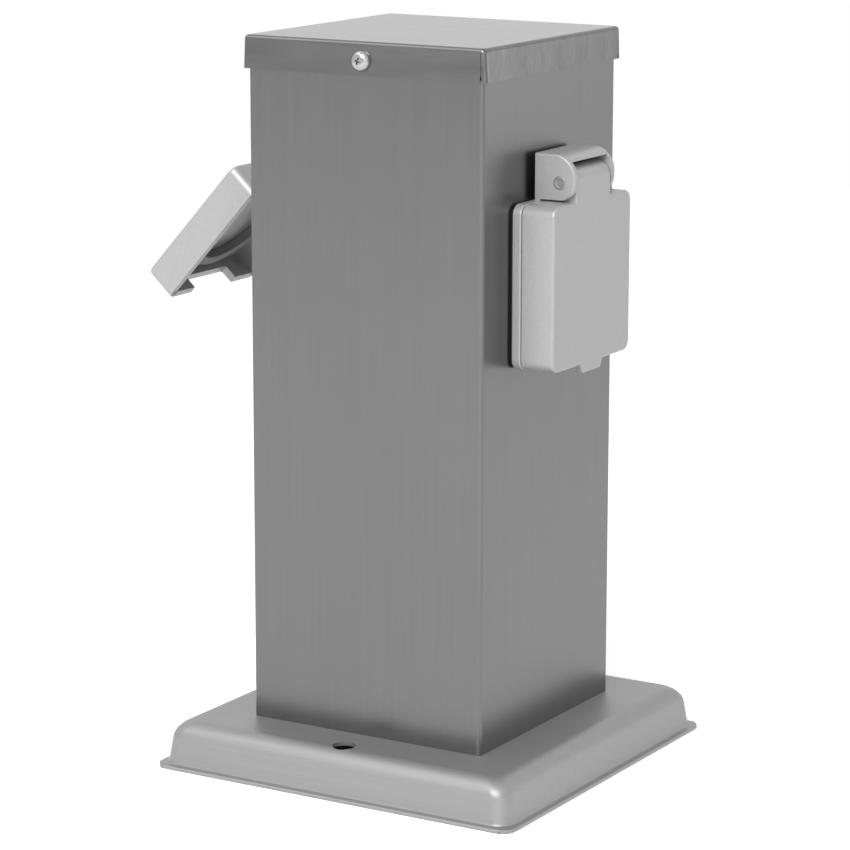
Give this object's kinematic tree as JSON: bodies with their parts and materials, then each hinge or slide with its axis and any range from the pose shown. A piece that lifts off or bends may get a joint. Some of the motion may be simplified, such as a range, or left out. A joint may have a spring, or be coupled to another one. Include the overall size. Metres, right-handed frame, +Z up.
{
  "type": "garden socket post",
  "caption": "Free-standing square metal garden post on a pressed foot plate, with outdoor sockets under hinged lids on opposite sides.",
  "frame": {"origin": "middle of the foot plate's underside, on the column's axis, at ground level", "axes": "+Z up the column; -Y out of the face with the visible cap screw; +X out of the face with the closed socket; the socket with the raised lid is on -X"},
  "size_m": [0.1927, 0.1564, 0.2789],
  "materials": {
    "stainless_sheet": "brushed stainless sheet, satin, with vertical grain on the column",
    "stainless_screws": "bare stainless, smooth",
    "zinc_steel": "zinc plated, satin",
    "silver_plastic": "silver grey moulded plastic, satin",
    "grey_plastic": "light grey moulded plastic, satin",
    "terminal_plastic": "off-white moulded plastic",
    "black_rubber": "black rubber, matt",
    "grey_rubber": "soft grey seal rubber, matt",
    "brass": "plain brass",
    "brown_insulation": "brown wire insulation",
    "blue_insulation": "blue wire insulation",
    "earth_insulation": "green and yellow wire insulation"
  },
  "bodies": {
    "post": {"base_plate": "stainless_sheet", "column": "stainless_sheet", "top_cap": "stainless_sheet", "cap_screws": "stainless_screws", "cap_nuts": "stainless_screws", "foot_screws": "stainless_screws", "foot_nuts": "stainless_screws", "cable_grommet": "black_rubber", "terminal_bracket": "zinc_steel", "terminal_block": "terminal_plastic", "terminal_clamps": "brass", "clamp_screws": "zinc_steel", "block_screws": "zinc_steel", "earth_stud": "zinc_steel", "earth_lug": "zinc_steel", "earth_nuts": "zinc_steel", "brown_wires": "brown_insulation", "blue_wires": "blue_insulation", "earth_wires": "earth_insulation", "right_gasket": "black_rubber", "right_frame": "silver_plastic", "right_frame_screws": "stainless_screws", "right_frame_nuts": "zinc_steel", "right_insert": "grey_plastic", "right_contacts": "brass", "right_contact_screws": "zinc_steel", "right_earth_clip": "brass", "right_hinge_pin": "stainless_screws", "left_gasket": "black_rubber", "left_frame": "silver_plastic", "left_frame_screws": "stainless_screws", "left_frame_nuts": "zinc_steel", "left_insert": "grey_plastic", "left_contacts": "brass", "left_contact_screws": "zinc_steel", "left_earth_clip": "brass", "left_hinge_pin": "stainless_screws"},
    "right_lid": {"right_lid": "silver_plastic", "right_lid_seal": "grey_rubber"},
    "left_lid": {"left_lid": "silver_plastic", "left_lid_seal": "grey_rubber"}
  },
  "joints": [
    {"name": "right_lid_hinge", "type": "hinge", "parent": "post", "child": "right_lid", "pos_m": [0.0624, 0, 0.2277], "axis": [0, -1, 0], "range_deg": [0, 100]},
    {"name": "left_lid_hinge", "type": "hinge", "parent": "post", "child": "left_lid", "pos_m": [-0.0624, 0, 0.2277], "axis": [0, 1, 0], "range_deg": [-42.3, 57.7]}
  ]
}
